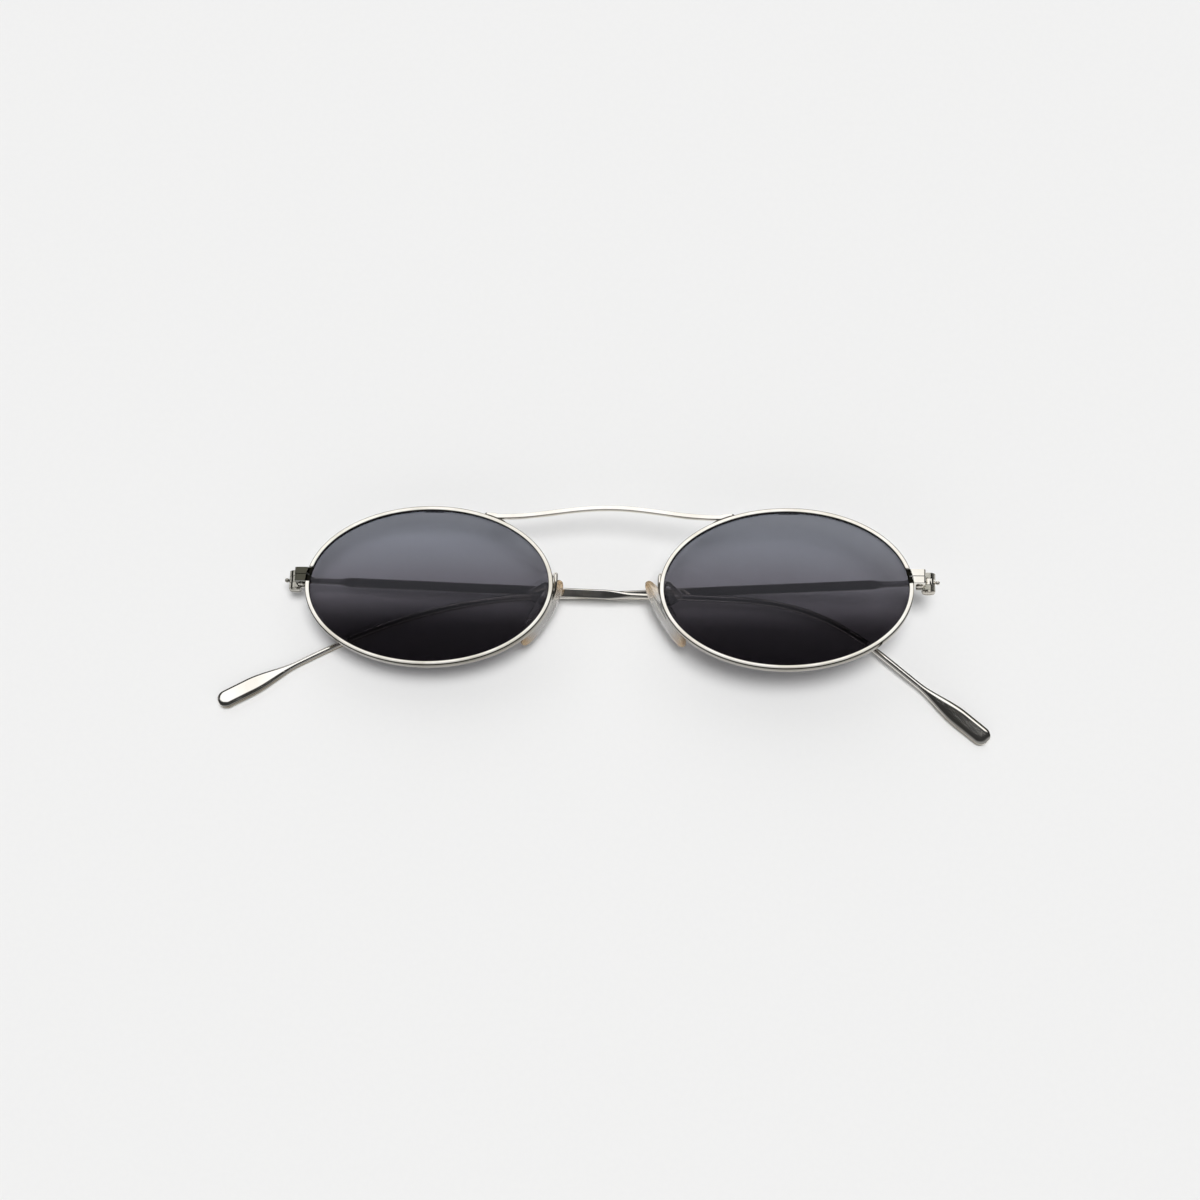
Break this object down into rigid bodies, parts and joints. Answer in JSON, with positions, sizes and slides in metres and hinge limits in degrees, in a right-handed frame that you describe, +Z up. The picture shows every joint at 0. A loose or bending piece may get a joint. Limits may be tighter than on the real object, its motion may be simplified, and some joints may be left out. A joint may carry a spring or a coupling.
{
  "type": "sunglasses",
  "caption": "Wire-rim sunglasses with oval dark lenses, a bridge bar, hinged wire temples with flat ends, and adjustable nose pads, folded and lying face up.",
  "frame": {"origin": "on the table, under the middle of the folded sunglasses' bounding box", "axes": "+X across the front towards the right of the picture, +Y towards the bridge and the lenses' upper edges, +Z up from the table, out of the lenses' faces"},
  "size_m": [0.1548, 0.044, 0.0172],
  "materials": {
    "polished_silver": "polished",
    "screw_steel": "satin",
    "smoke_lens": "polished",
    "clear_pad": "polished"
  },
  "bodies": {
    "front": {"bridge_bar": "polished_silver", "left_rim": "polished_silver", "left_lens": "smoke_lens", "left_lower_block": "polished_silver", "left_upper_block": "polished_silver", "left_lock_screw": "screw_steel", "left_front_hinge": "polished_silver", "left_hinge_screw": "screw_steel", "left_pad_arm": "polished_silver", "left_pad_box": "polished_silver", "left_pad_screw": "screw_steel", "right_rim": "polished_silver", "right_lens": "smoke_lens", "right_lower_block": "polished_silver", "right_upper_block": "polished_silver", "right_lock_screw": "screw_steel", "right_front_hinge": "polished_silver", "right_hinge_screw": "screw_steel", "right_pad_arm": "polished_silver", "right_pad_box": "polished_silver", "right_pad_screw": "screw_steel"},
    "temple_left": {"left_temple_hinge": "polished_silver", "left_temple_bead": "polished_silver", "left_temple": "polished_silver"},
    "temple_right": {"right_temple_hinge": "polished_silver", "right_temple_bead": "polished_silver", "right_temple": "polished_silver"},
    "pad_left": {"left_nose_pad": "clear_pad"},
    "pad_right": {"right_nose_pad": "clear_pad"}
  },
  "joints": [
    {"name": "left_temple_fold", "type": "hinge", "parent": "front", "child": "temple_left", "pos_m": [-0.0623, 0.00727, 0.00549], "axis": [0, 1, 0], "range_deg": [0, 90]},
    {"name": "right_temple_fold", "type": "hinge", "parent": "front", "child": "temple_right", "pos_m": [0.06422, 0.00781, 0.01219], "axis": [0, -1, 0], "range_deg": [0, 86]},
    {"name": "left_pad_rock", "type": "hinge", "parent": "front", "child": "pad_left", "pos_m": [-0.01287, 0.00391, 0.00673], "axis": [-0.5299, 0.075, 0.8447], "range_deg": [-4, 4]},
    {"name": "right_pad_rock", "type": "hinge", "parent": "front", "child": "pad_right", "pos_m": [0.01314, 0.00391, 0.0081], "axis": [0.4378, 0.075, 0.8959], "range_deg": [-4, 4]}
  ]
}
